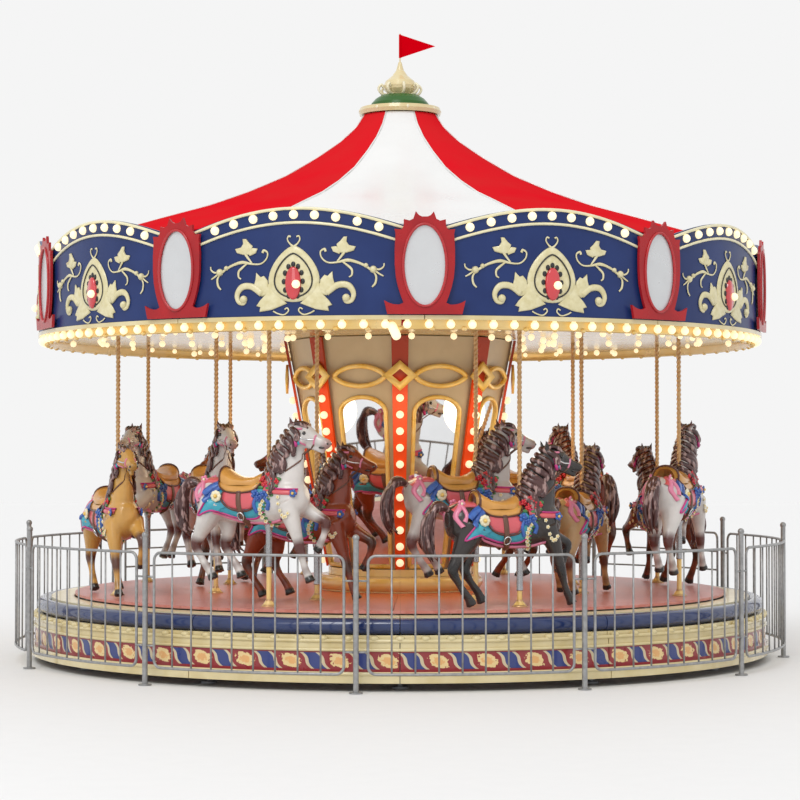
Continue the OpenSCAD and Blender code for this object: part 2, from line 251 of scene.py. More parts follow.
LOOK = {
    "ground_frame": steel, "levelling_feet": steel, "centre_mast": steel, "skirt_foot_rail": cream,
    "skirt_panels": band, "skirt_moulding": cream, "step_nosing": navy_n, "step_tread": tread,
    "fence_posts": galv, "fence_panels": galv, "entry_gate": galv, "exit_gate": galv,
    "drive_motor": steel, "drive_tyre": tyre, "deck_panels": deckm, "deck_frame": steel,
    "hub_sleeve": steel, "sweep_beams": steel, "crank_bearings": steel, "ceiling_panels": ceilm,
    "cornice": cream, "rounding_boards": navy_b, "shields": shieldm, "shield_mirrors": mirror_s,
    "canopy_red": c_red, "canopy_white": c_wht, "canopy_collar": cream, "crown_dome": green,
    "finial": cream, "pennant": flagm, "housing_panels": wallm, "housing_ribs": orange,
    "housing_mirrors": mirror, "housing_plinth": gold, "floor_posts": gold}
for k in range(1, 9):
    LOOK["crank_%d" % k] = steel
for name, m in LOOK.items():
    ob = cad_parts.get(name)
    if ob is None:
        continue
    if not ob.data.materials:
        ob.data.materials.append(m)
    for i in range(len(ob.data.materials)):
        ob.data.materials[i] = m


# ---------- mesh helpers ----------
def add(name, verts, faces, mats, body, smooth=True, idx=None, matrix=None):
    me = bpy.data.meshes.new(name)
    me.from_pydata([tuple(v) for v in verts], [], [tuple(f) for f in faces])
    for m in (mats if isinstance(mats, (list, tuple)) else [mats]):
        me.materials.append(m)
    if idx is not None:
        me.polygons.foreach_set("material_index", idx)
    me.polygons.foreach_set("use_smooth", [smooth] * len(me.polygons))
    me.update()
    ob = bpy.data.objects.new(name, me)
    bpy.context.scene.collection.objects.link(ob)
    if matrix is not None:
        ob.matrix_world = matrix
    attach(ob, body)
    return ob


class Bag:
    """Collects vertices and faces into one mesh."""

    def __init__(self):
        self.v, self.f, self.i = [], [], []

    def put(self, v, f, mi=0):
        n = len(self.v)
        self.v += [tuple(p) for p in v]
        self.f += [tuple(a + n for a in q) for q in f]
        self.i += [mi] * len(f)

    def make(self, name, mats, body, slot=None, smooth=True, matrix=None):
        return add(name, self.v, self.f, mats, body, smooth, self.i, matrix)


def sphere(c, r, nu=10, nv=6, squash=(1, 1, 1)):
    v, f = [], []
    for j in range(nv + 1):
        a = pi * j / nv
        for i in range(nu):
            b = 2 * pi * i / nu
            v.append((c[0] + r * squash[0] * math.sin(a) * math.cos(b),
                      c[1] + r * squash[1] * math.sin(a) * math.sin(b),
                      c[2] + r * squash[2] * math.cos(a)))
    for j in range(nv):
        for i in range(nu):
            k = (i + 1) % nu
            f.append((j * nu + i, (j + 1) * nu + i, (j + 1) * nu + k, j * nu + k))
    return v, f


def tube(pts, rad, n=8, flat=1.0, up=None, cap=True):
    """A tube along pts; rad is one radius or one for each point; flat squeezes it across up."""
    pts = [Vector(p) for p in pts]
    m = len(pts)
    rad = [float(rad)] * m if isinstance(rad, (int, float)) else [float(q) for q in rad]
    v, f = [], []
    ref = Vector(up) if up else None
    prev = None
    for j in range(m):
        t = (pts[min(j + 1, m - 1)] - pts[max(j - 1, 0)])
        t = t.normalized() if t.length > 1e-9 else Vector((0, 0, 1))
        if ref is not None:
            a = (ref - t * ref.dot(t))
            a = a.normalized() if a.length > 1e-6 else t.orthogonal().normalized()
        elif prev is None:
            a = t.orthogonal().normalized()
        else:
            a = (prev - t * prev.dot(t)).normalized()
        prev = a
        b = t.cross(a)
        for i in range(n):
            q = 2 * pi * i / n
            v.append(pts[j] + rad[j] * (a * math.cos(q) * flat + b * math.sin(q)))
    for j in range(m - 1):
        for i in range(n):
            k = (i + 1) % n
            f.append((j * n + i, j * n + k, (j + 1) * n + k, (j + 1) * n + i))
    if cap:
        f.append(tuple(reversed(range(n))))
        f.append(tuple(range((m - 1) * n, m * n)))
    return v, f


def lathe(prof, n=48):
    v = [(r * math.cos(2 * pi * i / n), r * math.sin(2 * pi * i / n), z)
         for r, z in prof for i in range(n)]
    f = [(j * n + i, j * n + (i + 1) % n, (j + 1) * n + (i + 1) % n, (j + 1) * n + i)
         for j in range(len(prof) - 1) for i in range(n)]
    return v, f


def spline(pts, n=6):
    """Catmull-Rom through pts, n steps a span."""
    p = [np.array(q, float) for q in pts]
    p = [2 * p[0] - p[1]] + p + [2 * p[-1] - p[-2]]
    out = []
    for i in range(1, len(p) - 2):
        for k in range(n):
            t = k / n
            out.append(0.5 * ((2 * p[i]) + (p[i + 1] - p[i - 1]) * t
                              + (2 * p[i - 1] - 5 * p[i] + 4 * p[i + 1] - p[i + 2]) * t * t
                              + (3 * p[i] - p[i - 1] - 3 * p[i + 1] + p[i + 2]) * t ** 3))
    out.append(p[-2])
    return out


# ---------- camera, light and floor ----------
cam = bpy.data.cameras.new("camera")
cam.sensor_width = 36.0
cam.lens = 102.4
cam.clip_end = 200
co = bpy.data.objects.new("camera", cam)
co.location = (0, -19.853, 1.7507)
co.rotation_euler = (radians(90 + 1.3214), 0, 0)
bpy.context.scene.collection.objects.link(co)
bpy.context.scene.camera = co

world = bpy.data.worlds.new("world")
bpy.context.scene.world = world
world.use_nodes = True
world.node_tree.nodes["Background"].inputs[0].default_value = (0.913, 0.913, 0.913, 1)
world.node_tree.nodes["Background"].inputs[1].default_value = 1.0
bpy.context.scene.view_settings.look = "None"
bpy.context.scene.view_settings.view_transform = "Standard"


def area(name, loc, target, size, power, color=(1, 1, 1)):
    l = bpy.data.lights.new(name, "AREA")
    l.size = size
    l.energy = power
    l.color = color
    o = bpy.data.objects.new(name, l)
    o.location = loc
    o.rotation_euler = (Vector(target) - Vector(loc)).to_track_quat("-Z", "Y").to_euler()
    bpy.context.scene.collection.objects.link(o)


sun = bpy.data.lights.new("sun", "SUN")
sun.energy = 0.95
sun.angle = radians(25)
so = bpy.data.objects.new("sun", sun)
so.rotation_euler = (radians(38), radians(-16), 0)
bpy.context.scene.collection.objects.link(so)
area("key", (-6, -13, 7), (0, 0, 2), 5, 120)
for i in range(8):
    l = bpy.data.lights.new("ceiling_glow_%d" % i, "POINT")
    l.energy = 6
    l.color = (1.0, 0.80, 0.50)
    l.shadow_soft_size = 0.25
    o = bpy.data.objects.new("ceiling_glow_%d" % i, l)
    o.location = P(45 * i, 1.35, 1.95)
    bpy.context.scene.collection.objects.link(o)

fl = bpy.data.meshes.new("floor")
fl.from_pydata([(-60, -60, -0.002), (60, -60, -0.002), (60, 60, -0.002), (-60, 60, -0.002)], [], [(0, 1, 2, 3)])
fo = bpy.data.objects.new("floor", fl)
bpy.context.scene.collection.objects.link(fo)
fl.materials.append(paint("floor_pale", (0.80, 0.80, 0.80), 0.7, bump=0.0, wear=0.01))

# ---------- bulbs ----------
rim_b, arch_b, rib_b, ceil_b = Bag(), Bag(), Bag(), Bag()
for i in range(120):
    rim_b.put(*sphere(P(3 * i + 1.0, 3.085, 2.697), 0.032))
    rim_b.put(*tube([P(3 * i + 1.0, 3.085, 2.722), P(3 * i + 1.0, 3.085, 2.731)], 0.016))
rim_b.make("bulbs_rim", bulbm, "turntable")


def arch_z(x, apex, edge, half=0.977):
    return edge + (apex - edge) * math.cos(min(abs(x) / half, 1.0) * pi / 2 * 0.93)


for b in range(NB):
    th0 = BOARD0 + 18 + 36 * b
    for k in range(9):
        a = (k - 4) * 2.95
        x = radians(a) * RIM
        z = (arch_z(x, 3.574, 3.34) + arch_z(x, 3.456, 3.222)) / 2
        arch_b.put(*sphere(P(th0 + a, 3.12, z), 0.034))
arch_b.make("bulbs_arch", bulbm, "turntable")
for s in range(8):
    for k in range(11):
        z = 0.82 + 0.1385 * k
        rib_b.put(*sphere(P(45 * s, 0.64 + SLOPE * (z - 0.9) + 0.045, z), 0.033))
rib_b.make("bulbs_rib", bulbm, "turntable")
for s in range(8):
    for k in range(7):
        ceil_b.put(*sphere(P(45 * s + 21.4 + 22.5, 1.3 + 0.26 * k, 2.70), 0.028, 8, 5))
for s in range(48):
    ceil_b.put(*sphere(P(7.5 * s + 2, 2.60, 2.70), 0.022, 8, 5))
for s in range(24):
    ceil_b.put(*sphere(P(15 * s + 4, 1.35, 2.70), 0.028, 8, 5))
ceil_b.make("bulbs_ceiling", bulbm, "turntable")

# ---------- rounding boards ----------
SURF = 3.112


def on_board(th0, x, z, out=0.0):
    return P(th0 + degrees(x / SURF), SURF + out, z)


def leaf_shape(bag, th0, outline, out=0.012, mi=0):
    """A raised flat shape with a bevelled edge, laid on the curved board."""
    n = len(outline)
    cx = sum(p[0] for p in outline) / n
    cz = sum(p[1] for p in outline) / n
    rings = []
    for s, o in ((1.0, 0.001), (0.97, out * 0.8), (0.85, out)):
        rings.append([on_board(th0, cx + (x - cx) * s, cz + (z - cz) * s, o) for x, z in outline])
    v = [p for r in rings for p in r]
    f = []
    for j in range(2):
        for i in range(n):
            k = (i + 1) % n
            f.append((j * n + i, j * n + k, (j + 1) * n + k, (j + 1) * n + i))
    f.append(tuple(range(2 * n, 3 * n)))
    bag.put(v, f, mi)


def stroke(bag, th0, pts, w, mi=0, out=0.008, steps=5):
    """A painted or carved line on the board: w is a width or a list of widths."""
    line = spline(pts, steps)
    m = len(line)
    ws = [w] * m if isinstance(w, (int, float)) else list(np.interp(np.linspace(0, 1, m),
                                                                    np.linspace(0, 1, len(w)), w))
    bag.put(*tube([on_board(th0, p[0], p[1], out * 0.5) for p in line], [a / 2 for a in ws], 8,
                  flat=0.55, up=on_board(th0, 0, 0, 0)[:2] + (0,)), mi)


trim, ornb = Bag(), Bag()
for b in range(NB):
    th0 = BOARD0 + 18 + 36 * b
    raised = lambda *a: leaf_shape(ornb, th0, *a)
    drawn = lambda *a: stroke(ornb, th0, *a)
    for apex, edge, w in ((3.562, 3.328, 0.024), (3.456, 3.222, 0.022)):
        line = [(x, arch_z(x, apex, edge)) for x in np.linspace(-0.955, 0.955, 29)]
        trim.put(*tube([on_board(th0, x, z, 0.004) for x, z in line], w / 2, 8))
    # cartouche: pointed oval, 0.40 wide, from z 2.86 to 3.30
    def oval(w, z0, z1, n=40):
        pts = []
        for i in range(n):
            t = 2 * pi * i / n
            s = math.sin(t / 2)
            x = w * math.sin(t) * (0.62 + 0.38 * math.sin(t / 2)) * 1.08
            z = z1 - (z1 - z0) * (0.5 - 0.5 * math.cos(t)) ** 0.85
            pts.append((x, z))
        return pts
    raised(oval(0.205, 2.865, 3.285), 0.014)
    drawn(oval(0.15, 2.90, 3.225) + [oval(0.15, 2.90, 3.225)[0]], 0.012, 1, 0.034, 1)
    for i in range(11):
        t = radians(-62 + 30.4 * i)
        x, z = 0.073 * math.cos(t), 3.02 + 0.125 * math.sin(t)
        raised([(x + 0.018 * math.cos(q), z + 0.022 * math.sin(q))
                               for q in np.linspace(0, 2 * pi, 11)[:-1]], 0.019, 1)
    raised([(0.06 * math.cos(q), 3.005 + 0.125 * math.sin(q))
                           for q in np.linspace(0, 2 * pi, 25)[:-1]], 0.034, 2)
    ornb.put(*sphere(on_board(th0, 0.03, 2.995, 0.045), 0.032), 3)
    for sgn in (-1, 1):
        L = lambda pts: [(sgn * x, z) for x, z in pts]
        # foot mass and leaf beside the cartouche
        raised(L([(0.05, 2.855), (0.17, 2.81), (0.27, 2.795), (0.262, 2.83), (0.295, 2.84),
                                 (0.265, 2.88), (0.215, 2.93), (0.20, 3.0), (0.16, 3.05), (0.12, 2.95), (0.09, 2.89)]))
        raised(L([(0.19, 2.93), (0.205, 3.03), (0.235, 3.065), (0.26, 3.055), (0.295, 3.09),
                                 (0.30, 3.04), (0.315, 2.99), (0.30, 2.95), (0.25, 2.91)]))
        drawn(L([(0.25, 2.93), (0.33, 2.985), (0.41, 2.985), (0.452, 2.93), (0.44, 2.875),
                             (0.40, 2.862), (0.382, 2.89), (0.395, 2.912)]),
               [0.05, 0.05, 0.05, 0.042, 0.034, 0.028, 0.024, 0.02])
        ornb.put(*sphere(on_board(th0, sgn * 0.398, 2.892, 0.004), 0.03, 10, 6, (1, 1, 1)), 0)
        # hook under the cartouche and crown hook above it
        drawn(L([(0.16, 2.80), (0.125, 2.762 + 0.02), (0.075, 2.772), (0.04, 2.80), (0.05, 2.822), (0.07, 2.812)]),
            0.011)
        drawn(L([(0.0, 3.275), (0.03, 3.30), (0.048, 3.33), (0.04, 3.355), (0.022, 3.35)]), [0.02, 0.012, 0.011,
            0.012, 0.014])
        # floral sprig
        drawn(L([(0.60, 3.085), (0.55, 3.12), (0.49, 3.15), (0.41, 3.17), (0.33, 3.155), (0.26, 3.155),
                             (0.215, 3.19), (0.205, 3.235), (0.235, 3.255), (0.245, 3.235)]),
               [0.02, 0.018, 0.02, 0.026, 0.014, 0.012, 0.012, 0.012, 0.018, 0.02])
        for (x, z), r in (((0.60, 3.10), 0.028), ((0.545, 3.13), 0.018)):
            ornb.put(*sphere(on_board(th0, sgn * x, z, 0.003), r, 10, 6), 0)
        drawn(L([(0.595, 3.09), (0.62, 3.05), (0.615, 3.0), (0.59, 2.97)]), [0.012, 0.016, 0.018, 0.012])
        drawn(L([(0.60, 3.10), (0.64, 3.07), (0.675, 3.05)]), [0.014, 0.014, 0.01])
        drawn(L([(0.60, 3.105), (0.645, 3.10), (0.675, 3.12), (0.68, 3.145)]), [0.014, 0.014, 0.012, 0.01])
        drawn(L([(0.33, 3.16), (0.37, 3.21), (0.385, 3.24), (0.38, 3.29)]), [0.012, 0.02, 0.026, 0.03])
        raised(L([(0.345, 3.225), (0.325, 3.29), (0.355, 3.315), (0.38, 3.345), (0.405, 3.345), (0.40, 3.31),
                                 (0.42, 3.28), (0.47, 3.27), (0.455, 3.24), (0.40, 3.225)]))
        raised(L([(0.35, 3.215), (0.30, 3.235), (0.285, 3.27), (0.325, 3.275), (0.355, 3.245)]))
        drawn(L([(0.37, 3.16), (0.41, 3.13), (0.44, 3.10), (0.44, 3.06), (0.42, 3.045)]), [0.012, 0.018, 0.018, 0.014,
            0.01])
trim.make("board_trims", paint("trim_cream", (0.80, 0.74, 0.48), 0.25, coat=0.6), "turntable", "cream_paint")
ornb.make("board_ornament", [orn, blackm, jewel, bulbm], "turntable", "cream_paint")

# ---------- shields: carved bead frame round each oval mirror ---------------
shb = Bag()
for b in range(NB):
    th = BOARD0 + 36 * b
    ring = []
    for i in range(49):
        q = 2 * pi * i / 48
        x, z = 0.160 * math.cos(q), 3.13 + 0.304 * math.sin(q)
        base = Vector(P(th, RIM + 0.027, 0))
        side = Vector((cos(th), sin(th), 0))
        ring.append(base + side * x + Vector((0, 0, z)))
    shb.put(*tube(ring, 0.011, 8, cap=False))
shb.make("shield_beads", paint("shield_bead", (0.44, 0.016, 0.020), 0.25, coat=0.2), "turntable", "shield")

# ---------- canopy seams, collar scrolls and finial ----------
CAN = [(0.33, 4.69), (0.41, 4.57), (0.55, 4.44), (0.766, 4.29), (1.05, 4.12), (1.385, 3.97),
       (1.735, 3.84), (2.14, 3.72), (2.60, 3.58), (3.06, 3.443)]
seam = Bag()
for i in range(8):
    th = (-21 if i % 2 == 0 else -24) + 45 * i
    seam.put(*tube([P(th, r, z + 0.002) for r, z in CAN], 0.007, 6))
seam.make("canopy_seams", paint("seam_white", (0.8, 0.8, 0.78), 0.3, coat=0.5), "turntable", "canopy_white")
SCROLL = [(0.09, 4.875), (0.16, 4.885), (0.19, 4.93), (0.165, 4.965), (0.15, 4.94)]
fin = Bag()
for i in range(8):
    th = 45 * i + 11
    fin.put(*tube([P(th, q[0], q[1]) for q in spline(SCROLL, 5)], 0.012, 6))
    fin.put(*sphere(P(th, 0.345, 4.73), 0.02))
fin.make("finial_scrolls", paint("finial_cream", (0.84, 0.78, 0.55), 0.25, coat=0.5), "turntable", "cream_paint")

# ---------- skirt domes ----------
dome = Bag()
for i in range(104):
    th = 360 / 104 * i
    dome.put(*sphere(P(th, 3.122, 0.385), 0.040, 10, 6, (0.95, 0.95, 0.6)))
dome.make("skirt_domes", cream, "base", "cream_paint")


def ring_tube(name, r, z, rad, m, body, slot):
    bag = Bag()
    pts = [P(i * 2.5, r, z) for i in range(145)]
    bag.put(*tube(pts, rad, 10, cap=False, up=(0, 0, 1)))
    bag.make(name, m, body, slot)


ring_tube("skirt_bead_low", 3.145, 0.302, 0.012, cream, "base", "cream_paint")
ring_tube("skirt_bead_mid", 3.137, 0.368, 0.014, cream, "base", "cream_paint")
ring_tube("skirt_rail_roll", 3.165, 0.128, 0.016, cream, "base", "cream_paint")
ring_tube("deck_edge", 2.7865, 0.5525, 0.0125, paint("deck_edge_pink", (0.78, 0.55, 0.53), 0.3, coat=0.5),
    "turntable", "deck")

lip = Bag()
lip.put(*lathe([(2.806, 0.49), (2.806, 0.531), (2.812, 0.535), (2.828, 0.5355)], 180))
lip.make("tread_lip", tread, "base", "tread")

# ---------- canopy: one smooth moulded shell for each stripe ----------
prof = [(q[0], q[2]) for q in spline([(r, 0.0, z) for r, z in CAN], 4)]
full = prof + [(r - 0.002, z - 0.011) for r, z in reversed(prof)]
m = len(full)
for i in range(8):
    w = i % 2 == 0
    a0, a1 = (-21 + 45 * i, 21 + 45 * i) if w else (-24 + 45 * i, 24 + 45 * i)
    v = [P(a, r, z) for a in np.linspace(a0 + 0.12, a1 - 0.12, 25) for r, z in full]
    f = [(a * m + j, a * m + (j + 1) % m, (a + 1) * m + (j + 1) % m,
        (a + 1) * m + j) for a in range(24) for j in range(m)]
    f += [tuple(range(m)), tuple(reversed(range(24 * m, 25 * m)))]
    sk = add("canopy_skin_%d" % i, v, f, c_wht if w else c_red, "turntable")
    md = sk.modifiers.new("edges", "EDGE_SPLIT")
    md.split_angle = radians(50)
    if i == 0:
        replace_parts(sk, "canopy_white")
    if i == 1:
        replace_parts(sk, "canopy_red")

# ---------- gold fascia inside the rim bulbs ----------
fb = Bag()
fb.put(*lathe([(3.056, 2.731), (3.052, 2.700), (3.040, 2.684), (3.046, 2.672), (3.036, 2.660), (3.026, 2.672), (3.022,
    2.731)], 180))
for i in range(80):
    fb.put(*sphere(P(4.5 * i, 3.045, 2.668), 0.022, 8, 5, (1, 1, 0.8)))
fb.make("rim_fascia", gold, "turntable", "gold")

# ---------- barrier panels: bent tube frames with round corners ----------
def barrier(name, a1, a2, gate, body):
    bag = Bag()
    half = radians(a2 - a1) / 2 * FENCE_R
    mid = (a1 + a2) / 2
    at = lambda x, z: P(mid + degrees(x / FENCE_R), FENCE_R, z)
    loop = []
    for cx, cz, q0 in ((half - 0.06, 0.198, -90), (half - 0.06, 0.939, 0), (-half + 0.06, 0.939, 90), (-half + 0.06,
        0.198, 180)):
        loop += [(cx + 0.06 * cos(q0 + q), cz + 0.06 * sin(q0 + q)) for q in range(0, 91, 15)]
    dense = []
    for (x0, z0), (x1, z1) in zip(loop, loop[1:] + loop[:1]):
        k = max(1, int(hypot(x1 - x0, z1 - z0) / 0.12))
        dense += [at(x0 + (x1 - x0) * i / k, z0 + (z1 - z0) * i / k) for i in range(k)]
    dense.append(dense[0])
    bag.put(*tube(dense, 0.011, 8, cap=False, up=None))
    if gate:
        for i in range(1, 5):
            bag.put(*tube([at(x, 0.138 + 0.172 * i) for x in np.linspace(-half, half, 13)], 0.008, 8))
    else:
        for i in range(1, 9):
            x = -half + 2 * half * i / 9
            bag.put(*tube([at(x, 0.140), at(x, 0.997)], 0.007, 8))
    ob = bag.make(name, galv, body, "galvanised")
    clips = Bag()
    for z in (0.30, 0.817):
        for sg in (-1, 1):
            clips.put(*tube([at(sg * half, z), at(sg * (half + 0.066), z)], 0.013, 8, flat=0.6, up=(0, 0, 1)))
    if not gate:
        clips.make(name + "_clips", galv, body, "galvanised")
    return ob


for i in range(12):
    a1, a2 = FENCE0 + BAY * i + BAY_GAP, FENCE0 + BAY * (i + 1) - BAY_GAP
    if i in GATE_BAYS:
        nm = GATE_BAYS[i]
        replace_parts(barrier(nm + "_tubes", a1, a2, True, nm + "_leaf"), nm)
    else:
        ob = barrier("barrier_panel_%d" % i, a1, a2, False, "base")
        if i == 0:
            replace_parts(ob, "fence_panels")

# ---------- housing trim ----------
hb = Bag()


def on_face(s, x, z, out=0.0):
    """A point on a flat side of the housing: x along it, z up."""
    th = 22.5 + 45 * s
    ap = (0.64 + SLOPE * (z - 0.9)) * cos(22.5) + out
    base = Vector(P(th, ap, z))
    return base + Vector((cos(th), sin(th), 0)) * x


for s in range(8):
    pts = []
    for x, z in ([(-0.158, 0.785)] + [(-0.158 - 0.05 * t, 0.785 + 1.30 * t) for t in np.linspace(0.05, 1, 10)]
                 + [(0.208 * math.cos(q), 2.085 + 0.13 * math.sin(q)) for q in np.linspace(pi, 0, 15)[1:-1]]
                 + [(0.158 + 0.05 * t, 0.785 + 1.30 * t) for t in np.linspace(1, 0.05, 10)] + [(0.158, 0.785),
                     (-0.158, 0.785)]):
        pts.append(on_face(s, x, z, 0.012))
    hb.put(*tube(pts, 0.019, 8))
    for sg in (-1, 1):
        ring = [on_face(s, 0.235 * u, 2.39 + sg * 0.083 * (1 - u * u) ** 0.75, 0.035) for u in np.linspace(-1, 1, 25)]
        hb.put(*tube(ring, 0.021, 8))
    th = 45 * s
    rr = 0.64 + SLOPE * (2.39 - 0.9) + 0.05
    side = Vector((cos(th), sin(th), 0))
    outl = [(0.144, 0), (0, 0.127), (-0.144, 0), (0, -0.127)]
    inn = [(0.067, 0), (0, 0.055), (-0.067, 0), (0, -0.055)]
    v = []
    for o in (0.0, 0.022):
        for q in outl + inn:
            v.append(Vector(P(th, rr + o, 2.39 + q[1])) + side * q[0])
    f = []
    for i in range(4):
        k = (i + 1) % 4
        f += [(i, k, 8 + k, 8 + i), (4 + k, 4 + i, 12 + i, 12 + k), (8 + i, 8 + k, 12 + k, 12 + i), (k, i, 4 + i,
            4 + k)]
    hb.put(v, f)
hb.make("housing_trim", gold_p, "turntable", "gold")
plinth_gold = paint("plinth_gold", (0.88, 0.60, 0.16), 0.22, spec=0.6, coat=0.5, col2=(0.92, 0.70, 0.30), scale=3,
    bump=0.02)
ring_tube("plinth_roll", 0.655, 0.632, 0.066, plinth_gold, "turntable", "gold")

# ---------- lamp bracket at the front rib ----------
lamp = Bag()
lamp.put(*tube([P(-1.9, 3.05, 2.731), P(-1.9, 3.05, 2.69)], 0.018, 10), 0)
lamp.put(*tube([P(0.5, 3.05, 2.731), P(0.5, 3.05, 2.69)], 0.018, 10), 0)
top, low = Vector(P(-1.35, 3.05, 2.715)), Vector(P(-0.25, 3.05, 2.585))
lamp.put(*tube([top.lerp(low, q) for q in (0, 0.03, 0.12, 0.25, 0.75, 0.88, 0.97, 1)],
               [0.008, 0.02, 0.031, 0.035, 0.035, 0.031, 0.02, 0.008], 14), 1)
lamp.make("service_lamp", [shieldm, bulbm], "turntable")

# ---------- horses ----------
def loft(sections, n=20):
    """Elliptical sections (x, z, half width, half height) along a path in the horse's middle plane."""
    pts = [Vector((q[0], 0, q[1])) for q in sections]
    v, f = [], []
    m = len(pts)
    for j, q in enumerate(sections):
        t = (pts[min(j + 1, m - 1)] - pts[max(j - 1, 0)]).normalized()
        up = Vector((0, 1, 0)).cross(t) * -1
        for i in range(n):
            a = 2 * pi * i / n
            v.append(pts[j] + Vector((0, 1, 0)) * q[2] * math.cos(a) + up * q[3] * math.sin(a))
    for j in range(m - 1):
        for i in range(n):
            k = (i + 1) % n
            f.append((j * n + i, j * n + k, (j + 1) * n + k, (j + 1) * n + i))
    f.append(tuple(reversed(range(n))))
    f.append(tuple(range((m - 1) * n, m * n)))
    return v, f


def smooth_rows(rows, k=4):
    return [tuple(q) for q in spline(rows, k)]


LEGS = [
    [(0.19, -0.085, 0.62, 0.090), (0.245, -0.09, 0.48, 0.066), (0.285, -0.09, 0.36, 0.045), (0.31, -0.09, 0.275, 0.041),
     (0.335, -0.09, 0.18, 0.027), (0.36, -0.09, 0.105, 0.031), (0.383, -0.09, 0.06, 0.034), (0.402, -0.09, 0.02,
         0.045)],
    [(0.19, 0.085, 0.62, 0.090), (0.31, 0.09, 0.545, 0.060), (0.40, 0.09, 0.50, 0.045), (0.445, 0.09, 0.468, 0.041),
     (0.428, 0.09, 0.38, 0.027), (0.40, 0.09, 0.315, 0.031), (0.383, 0.09, 0.275, 0.034), (0.362, 0.09, 0.245, 0.044)],
    [(-0.43, -0.075, 0.63, 0.130), (-0.49, -0.085, 0.50, 0.092), (-0.55, -0.085, 0.385, 0.058), (-0.592, -0.085, 0.29,
        0.044),
     (-0.548, -0.085, 0.20, 0.029), (-0.495, -0.085, 0.12, 0.032), (-0.46, -0.085, 0.075, 0.035), (-0.435, -0.085,
         0.025, 0.046)],
    [(-0.40, 0.075, 0.62, 0.130), (-0.41, 0.085, 0.50, 0.090), (-0.40, 0.085, 0.385, 0.056), (-0.425, 0.085, 0.29,
        0.044),
     (-0.378, 0.085, 0.20, 0.029), (-0.325, 0.085, 0.13, 0.032), (-0.297, 0.085, 0.085, 0.035), (-0.275, 0.085, 0.035,
         0.046)],
]


def horse_mesh():
    bag = Bag()
    bag.put(*loft(smooth_rows([(-0.605, 0.665, 0.05, 0.06), (-0.575, 0.665, 0.115, 0.12), (-0.49, 0.655, 0.150, 0.155),
                               (-0.37, 0.64, 0.152, 0.160), (-0.20, 0.62, 0.148, 0.165), (-0.02, 0.62, 0.150, 0.170),
                               (0.11, 0.635, 0.150, 0.175), (0.21, 0.66, 0.138, 0.165), (0.285, 0.68, 0.10, 0.12),
                               (0.325, 0.69, 0.05, 0.06)])))
    bag.put(*loft(smooth_rows([(0.09, 0.66, 0.12, 0.16), (0.13, 0.80, 0.100, 0.165), (0.155, 0.92, 0.082, 0.145),
                               (0.185, 1.03, 0.066, 0.120), (0.225, 1.12, 0.055, 0.088), (0.25, 1.17, 0.046, 0.055)])))
    bag.put(*loft(smooth_rows([(0.205, 1.150, 0.045, 0.055), (0.25, 1.155, 0.062, 0.080), (0.32, 1.135, 0.062, 0.080),
                               (0.39, 1.105, 0.046, 0.056), (0.45, 1.083, 0.038, 0.042), (0.495, 1.068, 0.040, 0.040),
                               (0.520, 1.058, 0.026, 0.028)])))
    bag.put(*loft(smooth_rows([(0.31, 1.075, 0.034, 0.035), (0.38, 1.045, 0.026, 0.022), (0.44, 1.018, 0.022, 0.016),
                               (0.475, 1.006, 0.020, 0.014)])))
    for sg in (-1, 1):
        bag.put(*tube([(0.215, sg * 0.036, 1.19), (0.212, sg * 0.044, 1.235), (0.20, sg * 0.05, 1.285)], [0.022,
            0.018, 0.003], 8))
        bag.put(*sphere((0.325, sg * 0.050, 1.150), 0.022))
        bag.put(*sphere((0.503, sg * 0.026, 1.066), 0.018))
        bag.put(*sphere((0.30, sg * 0.045, 1.105), 0.042))
    for leg in LEGS:
        rows = smooth_rows(leg, 4)
        bag.put(*tube([r[:3] for r in rows], [r[3] for r in rows], 12, up=(0, 1, 0)))
    me = bpy.data.meshes.new("horse_raw")
    me.from_pydata(bag.v, [], bag.f)
    ob = bpy.data.objects.new("horse_raw", me)
    bpy.context.scene.collection.objects.link(ob)
    m = ob.modifiers.new("r", "REMESH")
    m.mode = "VOXEL"
    m.voxel_size = 0.0125
    m = ob.modifiers.new("s", "SMOOTH")
    m.factor = 0.5
    m.iterations = 3
    dg = bpy.context.evaluated_depsgraph_get()
    out = bpy.data.meshes.new_from_object(ob.evaluated_get(dg))
    bpy.data.objects.remove(ob)
    bpy.data.meshes.remove(me)
    out.name = "horse_body"
    att = out.color_attributes.new("Coat", "FLOAT_COLOR", "POINT")
    co = np.array([v.co for v in out.vertices])
    mask = np.zeros((len(co), 4))
    mask[:, 3] = 1
    for leg in LEGS:
        L = np.array(leg)
        hoof = L[-1]
        d = np.linalg.norm(co - hoof[:3], axis=1)
        mask[:, 0] = np.maximum(mask[:, 0], np.clip((0.062 - d) / 0.008, 0, 1))
        for c, reach in ((L[3], 0.095), (L[-3], 0.05)):
            d = np.linalg.norm(co - c[:3], axis=1)
            mask[:, 1] = np.maximum(mask[:, 1], np.clip((reach - d) / 0.045, 0, 1))
    d = np.linalg.norm(co - np.array((0.515, 0, 1.045)), axis=1)
    mask[:, 2] = np.clip((0.085 - d) / 0.04, 0, 1)
    mask[:, 1] = np.maximum(mask[:, 1], np.clip((co[:, 2] - 1.205) / 0.02, 0, 1))
    att.data.foreach_set("color", mask.ravel())
    out.polygons.foreach_set("use_smooth", [True] * len(out.polygons))
    return out


